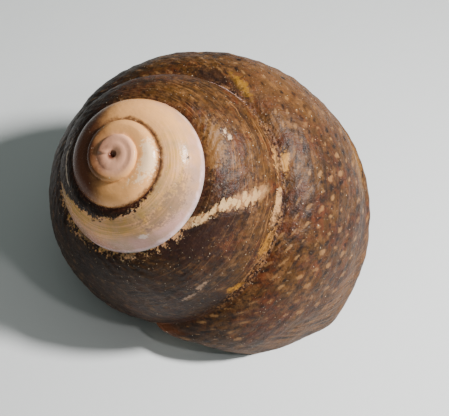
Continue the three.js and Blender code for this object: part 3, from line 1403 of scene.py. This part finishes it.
@dataclass(frozen=True)
class WornSpire:
    """The colour where the outer layer is worn away, towards the tip, with painted shade on the
    left of the first whorls.
    """

    olive: Colour = paint(178, 136, 64)
    peach: Colour = paint(224, 160, 98)
    lilac: Colour = LILAC
    rim: Colour = paint(234, 200, 200)
    pink: Colour = paint(236, 172, 146)
    mauve_stain_and_painted_shade: Colour = paint(70, 28, 16)
    pit: Colour = paint(84, 42, 28)
    streak_breaks: float = 7.0
    streak_rows: float = 24.0
    streak_span: Span = (0.4, 0.65)
    cloud: Patches = Patches(900.0, (0.35, 0.62), 0.35, LILAC, 4.0)
    grey: Patches = Patches(360.0, (0.42, 0.6), 0.5, paint(146, 124, 92), 4.0, 0.65)
    soft: float = 0.5
    soft_scale: float = 620.0
    lilac_across: Span = (0.72, 1.08)
    rim_stray: float = 0.5
    rim_scale: float = 1500.0
    rim_reach: Span = (0.95, 0.4)
    young: Span = (0.4, -0.05)
    first: Span = (-0.7, -1.4)
    first_share: float = 0.7
    # Painted shade, partly a mauve-brown stain, on the left side of the first whorls.
    shade_stray: float = 0.0016
    shade_scale: float = 700.0
    shade: Span = (-0.0076, -0.0100)
    shade_share: float = 0.95
    pit_place: tuple[float, float, float] = (-0.0088908, -0.008243, 0.0197)
    pit_reach: Span = (0.00052, 0.00022)

    def lay(
        self, bench: Bench, turn: Signal, age: Signal, across: Signal, lower: Signal
    ) -> Signal:
        """Lays the worn layers and the painted shade on their left.

        Args:
            bench: The material's bench.
            turn: The number of turns.
            age: The turns grown since the tip, across the sutures.
            across: The place across the whorl.
            lower: The distance to the lower suture, in millimetres.

        Returns:
            The colour.
        """
        at = bench.space()
        soft = bench.grain(at, self.soft_scale) * self.soft
        streaks = bench.spread(turn * self.streak_breaks, across * self.streak_rows)
        streaks = bench.rise(bench.grain(streaks, 1.0, 2.0), self.streak_span)
        colour = bench.blend(streaks, self.olive, self.peach)
        colour = self.cloud.over(bench, at, colour)
        colour = bench.blend(bench.rise(across + soft, self.lilac_across), colour, self.lilac)
        colour = self.grey.over(bench, at, colour)
        rim = lower + bench.grain(at, self.rim_scale) * self.rim_stray
        colour = bench.blend(bench.rise(rim, self.rim_reach), colour, self.rim)
        young = bench.rise(turn + soft, self.young)
        colour = bench.blend(young, colour, self.peach)
        first = bench.rise(age + soft, self.first)
        colour = bench.blend(first * self.first_share, colour, self.pink)
        # Painted shade, partly a mauve-brown stain: the first whorls turn dark mauve-brown towards
        # their left side, turned from the light.
        right = bench.parts(at)[0] + bench.grain(at, self.shade_scale) * self.shade_stray
        shade = young * bench.rise(right, self.shade)
        colour = bench.blend(shade * self.shade_share, colour, self.mauve_stain_and_painted_shade)
        ends = {0: at, 1: self.pit_place}
        away = bench.add("ShaderNodeVectorMath", ends, 1, operation="DISTANCE")
        return bench.blend(bench.rise(away, self.pit_reach), colour, self.pit)


@dataclass(frozen=True)
class SpottedSkin:
    """The outside: mottled brown with rows of cream and dark spots, worn pale towards the tip."""

    coat: BrownCoat = BrownCoat()
    spots: SpotRows = SpotRows()
    chips: ChippedLine = ChippedLine()
    worn: WornSpire = WornSpire()
    height_shares: tuple[float, float] = (0.35, 0.65)
    height_worn: float = 0.75
    height_rough: float = 1.5
    dull: float = 0.34
    dull_fine: float = 0.3
    dull_worn: float = 0.24
    fine_scale: float = 5200.0
    middling_scale: float = 1700.0
    ragged: float = 2.4
    bare_ragged: float = 0.14
    bare_edge: Span = (-0.02, 0.03)
    lip_slant: float = 0.25
    lip_strip: Span = (2.37, 2.43)
    lip_share: float = 0.55
    lip_threads: float = 420.0
    lip_breaks: float = 5.0
    lip_span: Span = (0.4, 0.62)
    lip_tan: Colour = paint(122, 84, 52)
    lip_dark: Colour = DEEP_BROWN
    notch_line: Span = (2.25, 2.272)
    notch_across: Span = (0.16, 0.05)
    notch_amber: Colour = paint(96, 50, 20)
    callus_ragged: float = 0.03
    callus_across: Span = (1.86, 1.95)
    glaze_ragged: float = 0.006
    glaze_line: Span = (1.43, 1.405)
    glaze_across: Span = (1.0, 1.06)
    callus_share: float = 0.9
    callus_white: Colour = paint(208, 194, 180)
    grit_stray: float = 1.1
    grit_reach: Span = (1.15, 0.65)
    grit_old: tuple[Span, Span] = ((-0.45, -0.15), (0.75, 0.5))
    grit_late: Span = (0.3, 0.8)
    grit_scale: float = 380.0
    grit_span: Span = (0.42, 0.56)
    grit_late_share: float = 0.45
    grit_share: float = 0.85
    grit_grain: Span = (0.52, 0.66)
    grit_red: Colour = paint(58, 24, 14)
    grit_tan: Colour = paint(116, 74, 50)
    rough_scale: float = 750.0
    rough_span: Span = (0.4, 0.56)
    rough_share: float = 0.6
    rough_dark: Colour = paint(30, 15, 10)
    crumbs: Patches = Patches(3600.0, (0.46, 0.6), 1.0, paint(160, 112, 68), 2.0)
    # Tiny white specks, partly painted glints, scattered over the brown.
    white_specks_and_glints: Patches = Patches(7000.0, (0.71, 0.76), 0.8, paint(206, 186, 158), 1.0)
    specks_near: Span = (0.48, 0.56)
    bump: float = 0.00014
    blotches: tuple[Blotch, ...] = (
        Blotch(1.0, 0.17, 0.045, 0.14, paint(146, 102, 56), 0.45),
        Blotch(1.18, 0.2, 0.05, 0.3, paint(40, 20, 16), 0.75),
        Blotch(1.0, 0.33, 0.006, 0.03, paint(204, 172, 136), 0.8),
        Blotch(1.012, 0.37, 0.006, 0.025, paint(204, 172, 136), 0.8),
        Blotch(1.876, 0.11, 0.016, 0.07, paint(138, 96, 24), 0.75),
        Blotch(1.83, 0.06, 0.05, 0.1, paint(26, 13, 8), 0.7),
        Blotch(1.09, 0.97, 0.02, 0.06, paint(190, 138, 80), 0.7),
        Blotch(1.985, 0.05, 0.012, 0.05, paint(184, 130, 60), 0.75),
        Blotch(1.15, 0.95, 0.022, 0.05, paint(196, 148, 98), 0.75),
        Blotch(1.2, 0.97, 0.018, 0.08, paint(150, 100, 34), 0.8),
        Blotch(1.268, 0.92, 0.009, 0.06, paint(184, 124, 36), 0.85),
        Blotch(2.069, 0.95, 0.03, 0.09, paint(126, 84, 26), 0.6),
        Blotch(1.262, 0.63, 0.01, 0.025, paint(146, 116, 92), 0.75),
        Blotch(1.285, 0.67, 0.014, 0.02, paint(146, 116, 92), 0.75),
        Blotch(1.285, 0.92, 0.02, 0.12, paint(24, 12, 9), 0.7),
        Blotch(1.134, 0.1, 0.007, 0.09, paint(228, 196, 150), 0.85),
    )
    # Scars of the worn spire, with one painted glint and one painted highlight among them.
    scars_and_highlights: tuple[Blotch, ...] = (
        Blotch(0.077, 0.59, 0.0045, 0.035, paint(40, 20, 12), 0.9),
        Blotch(0.262, 0.6, 0.02, 0.04, paint(150, 112, 92), 0.7),
        # Painted glint: a small bright patch on the worn second whorl.
        Blotch(0.3, 0.66, 0.012, 0.05, paint(226, 200, 186), 0.7),
        Blotch(0.2, 0.52, 0.07, 0.2, paint(112, 92, 80), 0.6),
        # Painted highlight, partly pale pearl showing through: a broad bright patch on the right of
        # the first whorl.
        Blotch(-0.9, 0.5, 0.1, 0.32, paint(250, 214, 172), 0.7),
        Blotch(0.545, 0.225, 0.07, 0.02, paint(196, 172, 150), 0.75),
    )

    def edge(self, bench: Bench, line: Signal, across: Signal, colour: Signal) -> Signal:
        """Lays the striped strip along the lip and the amber notch at its upper end.

        Args:
            bench: The material's bench.
            line: The growth line.
            across: The place across it.
            colour: The colour under the strip.

        Returns:
            The colour with the strip.
        """
        strip = bench.rise(line + across * self.lip_slant, self.lip_strip)
        threads = bench.grain(bench.spread(line * self.lip_threads, across * self.lip_breaks), 1.0)
        threads = bench.blend(bench.rise(threads, self.lip_span), self.lip_tan, self.lip_dark)
        colour = bench.blend(strip * self.lip_share, colour, threads)
        notch = bench.rise(line, self.notch_line) * bench.rise(across, self.notch_across)
        return bench.blend(notch, colour, self.notch_amber)

    def callus(
        self, bench: Bench, line: Signal, across: Signal, ragged: Signal, colour: Signal
    ) -> Signal:
        """Lays the pale callus over the middle of the base and the glaze inside the mouth.

        Args:
            bench: The material's bench.
            line: The growth line.
            across: The place across it.
            ragged: A small uneven number that breaks up the edges.
            colour: The colour under the callus.

        Returns:
            The colour with the callus.
        """
        middle = bench.rise(across + ragged * self.callus_ragged, self.callus_across)
        glaze = bench.rise(line + ragged * self.glaze_ragged, self.glaze_line)
        glaze = glaze * bench.rise(across, self.glaze_across)
        pale = bench.larger(middle, glaze) * self.callus_share
        return bench.blend(pale, colour, self.callus_white)

    def grit(
        self, bench: Bench, age: Signal, gritty: Signal, fine: Signal, colour: Signal
    ) -> Signal:
        """Lays the dark grit that is left beside the sutures.

        Args:
            bench: The material's bench.
            age: The turns grown since the tip, across the sutures.
            gritty: How near the suture the place is, from 0 to 1.
            fine: The finest pattern of the skin.
            colour: The colour under the grit.

        Returns:
            The colour with the grit.
        """
        old = bench.rise(age, self.grit_old[0]) * bench.rise(age, self.grit_old[1])
        patches = bench.rise(bench.grain(bench.space(), self.grit_scale, 2.0), self.grit_span)
        late = bench.rise(age, self.grit_late) * patches
        gritty = gritty * bench.larger(old, late * self.grit_late_share)
        grains = bench.blend(bench.rise(fine, self.grit_grain), self.grit_red, self.grit_tan)
        return bench.blend(gritty * self.grit_share, colour, grains)

    def make(self) -> bpy.types.Material:
        """Makes the material.

        Returns:
            The finished material.
        """
        bench = Bench("spotted_skin")
        line, across = bench.chart("growth")
        turn, age = bench.chart("age")
        pale, zone = bench.chart("wear")
        upper, lower = bench.chart("sutures")
        at = bench.space()
        fine = bench.grain(at, self.fine_scale, 3.0, 0.6)
        middling = bench.grain(at, self.middling_scale, 4.0, 0.6)
        ragged = (middling + fine - 1.0) * self.ragged
        colour = self.spots.over(bench, line, across, self.coat.lay(bench, line, across))
        for blotch in self.blotches:
            colour = blotch.over(bench, line, across, ragged, colour)
        colour = self.chips.over(bench, line, across, colour)
        colour = self.edge(bench, line, across, colour)
        bare = bench.rise(pale + ragged * self.bare_ragged, self.bare_edge)
        colour = bench.blend(bare, colour, self.worn.lay(bench, turn, age, across, lower))
        colour = self.callus(bench, line, across, ragged, colour)
        beside = bench.smaller(upper, lower) + middling * self.grit_stray
        colour = self.grit(bench, age, bench.rise(beside, self.grit_reach), fine, colour)
        rough = zone * bench.rise(bench.grain(at, self.rough_scale), self.rough_span)
        crumbs = self.crumbs.over(bench, at, self.rough_dark)
        colour = bench.blend(rough * self.rough_share, colour, crumbs)
        # The scars, and the painted glint and highlight on the spire.
        for overlay in self.scars_and_highlights:
            colour = overlay.over(bench, line, across, ragged, colour)
        # Tiny white specks, partly painted glints.
        white_specks_and_glints = self.white_specks_and_glints.share(bench, at) * bench.rise(middling, self.specks_near)
        colour = bench.blend(white_specks_and_glints * self.white_specks_and_glints.strength, colour, self.white_specks_and_glints.colour)
        height = fine * self.height_shares[0] + middling * self.height_shares[1]
        height = height * (1.0 - bare * self.height_worn) + rough * fine * self.height_rough
        return bench.finish({
            "Base Color": colour,
            "Roughness": fine * self.dull_fine + self.dull - bare * self.dull_worn,
            "Specular IOR Level": 0.2,
            "Normal": bench.relief(height, self.bump),
        })


@dataclass(frozen=True)
class Nacre:
    """The inside: pearly, with a dark spotted border inside the lip."""

    pearl_pink: Colour = paint(226, 196, 192)
    pearl: Patches = Patches(260.0, (0.4, 0.6), 1.0, paint(186, 208, 190), 2.0)
    border_dark: Colour = paint(70, 52, 44)
    border_spots: Patches = Patches(1200.0, (0.55, 0.62), 1.0, paint(196, 176, 140), 2.0)
    border_edge: Span = (0.045, 0.03)
    border_around: Span = (1.95, 1.75)
    border_stray: float = 0.02
    border_scale: float = 700.0
    bump: float = 0.00006
    bump_scale: float = 900.0

    def make(self) -> bpy.types.Material:
        """Makes the material.

        Returns:
            The finished material.
        """
        bench = Bench("nacre")
        behind, around = bench.chart("growth")
        at = bench.space()
        edge = behind + bench.grain(at, self.border_scale) * self.border_stray
        border = bench.rise(edge, self.border_edge) * bench.rise(around, self.border_around)
        spots = self.border_spots.over(bench, at, self.border_dark)
        return bench.finish({
            "Base Color": bench.blend(border, self.pearl.over(bench, at, self.pearl_pink), spots),
            "Roughness": 0.22,
            "Coat Weight": 0.3,
            "Coat Roughness": 0.1,
            "Normal": bench.relief(bench.grain(at, self.bump_scale, 2.0), self.bump),
        })


@dataclass
class Studio:
    """The pale floor, the soft light and the camera."""

    tip: Vector
    rise: float = math.radians(44.5)
    distance: float = 0.192
    roll: float = math.radians(5.96)
    lens: float = 192.8
    aside: float = math.radians(2.67)
    below: float = math.radians(1.30)
    floor_size: float = 0.6
    floor_colour: Colour = paint(206, 207, 206)
    floor_speck: float = 900.0
    floor_bump: float = 0.00002
    sky: float = 0.3
    sky_colour: Colour = paint(228, 242, 238)
    key_power: float = 0.28
    key_size: float = 0.018
    key_from: tuple[float, float, float] = (0.0601, -0.0150, 0.0885)
    glint_power: float = 0.14
    glint_size: float = 0.03
    glint_from: tuple[float, float, float] = (0.124, -0.148, 0.23)
    lit_place: tuple[float, float, float] = (0.0, 0.0, 0.008)
    sensor: float = 36.0

    def lay_floor(self) -> None:
        """Lays the floor and gives it its pale paint."""
        bm = bmesh.new()
        bmesh.ops.create_grid(bm, x_segments=1, y_segments=1, size=self.floor_size)
        mesh = bpy.data.meshes.new("floor")
        bm.to_mesh(mesh)
        bm.free()
        floor = bpy.data.objects.new("floor", mesh)
        bench = Bench("floor_paint")
        speck = bench.grain(bench.space(), self.floor_speck)
        mesh.materials.append(bench.finish({
            "Base Color": self.floor_colour,
            "Roughness": 0.85,
            "Normal": bench.relief(speck, self.floor_bump),
        }))
        bpy.context.scene.collection.objects.link(floor)

    def light(self) -> None:
        """Sets the near key light, the faint light of its glints and the even light of the room."""
        world = bpy.data.worlds.new("room")
        world.use_nodes = True
        background = world.node_tree.nodes["Background"]
        background.inputs["Color"].default_value = self.sky_colour
        background.inputs["Strength"].default_value = self.sky
        bpy.context.scene.world = world
        self.hang("key", self.key_power, self.key_size, Vector(self.key_from))
        self.hang("glint", self.glint_power, self.glint_size, Vector(self.glint_from))

    def hang(self, name: str, power: float, size: float, place: Vector) -> None:
        """Hangs a round soft light and points it at the shell.

        Args:
            name: The light's name.
            power: Its power in watts.
            size: Its width in metres.
            place: Where it hangs.
        """
        light = bpy.data.lights.new(name, "AREA")
        light.shape = "DISK"
        light.size = size
        light.energy = power
        lamp = bpy.data.objects.new(name, light)
        aim = (Vector(self.lit_place) - place).to_track_quat("-Z", "Y")
        lamp.matrix_world = Matrix.Translation(place) @ aim.to_matrix().to_4x4()
        bpy.context.scene.collection.objects.link(lamp)

    def place_camera(self) -> None:
        """Puts the camera where the photograph's was: above the front, a little rolled."""
        towards = Vector((0.0, math.cos(self.rise), -math.sin(self.rise)))
        level = towards.cross(Vector((0.0, 0.0, 1.0))).normalized()
        upright = level.cross(towards)
        right = level * math.cos(self.roll) + upright * math.sin(self.roll)
        up = upright * math.cos(self.roll) - level * math.sin(self.roll)
        stand = self.tip - towards * self.distance
        aim = (towards + right * math.tan(self.aside) - up * math.tan(self.below)).normalized()
        right = (right - aim * right.dot(aim)).normalized()
        up = right.cross(aim)
        eye = bpy.data.cameras.new("camera")
        eye.lens = self.lens
        eye.sensor_width = self.sensor
        camera = bpy.data.objects.new("camera", eye)
        facing = Matrix((right, up, -aim)).transposed().to_4x4()
        camera.matrix_world = Matrix.Translation(stand) @ facing
        bpy.context.scene.collection.objects.link(camera)
        bpy.context.scene.camera = camera


def main() -> None:
    """Builds the shell, dresses it, and sets the floor, the light and the camera round it."""
    logging.basicConfig(level=logging.INFO, format="%(name)s: %(message)s")
    body = ShellBody()
    shell = body.build()
    body.dress(shell, {Region.SKIN: SpottedSkin().make(), Region.NACRE: Nacre().make()})
    studio = Studio(tip=body.pose.tip() * MM)
    studio.lay_floor()
    studio.light()
    studio.place_camera()
    LOG.info("floor, light and camera are set")


if __name__ == "__main__":
    main()
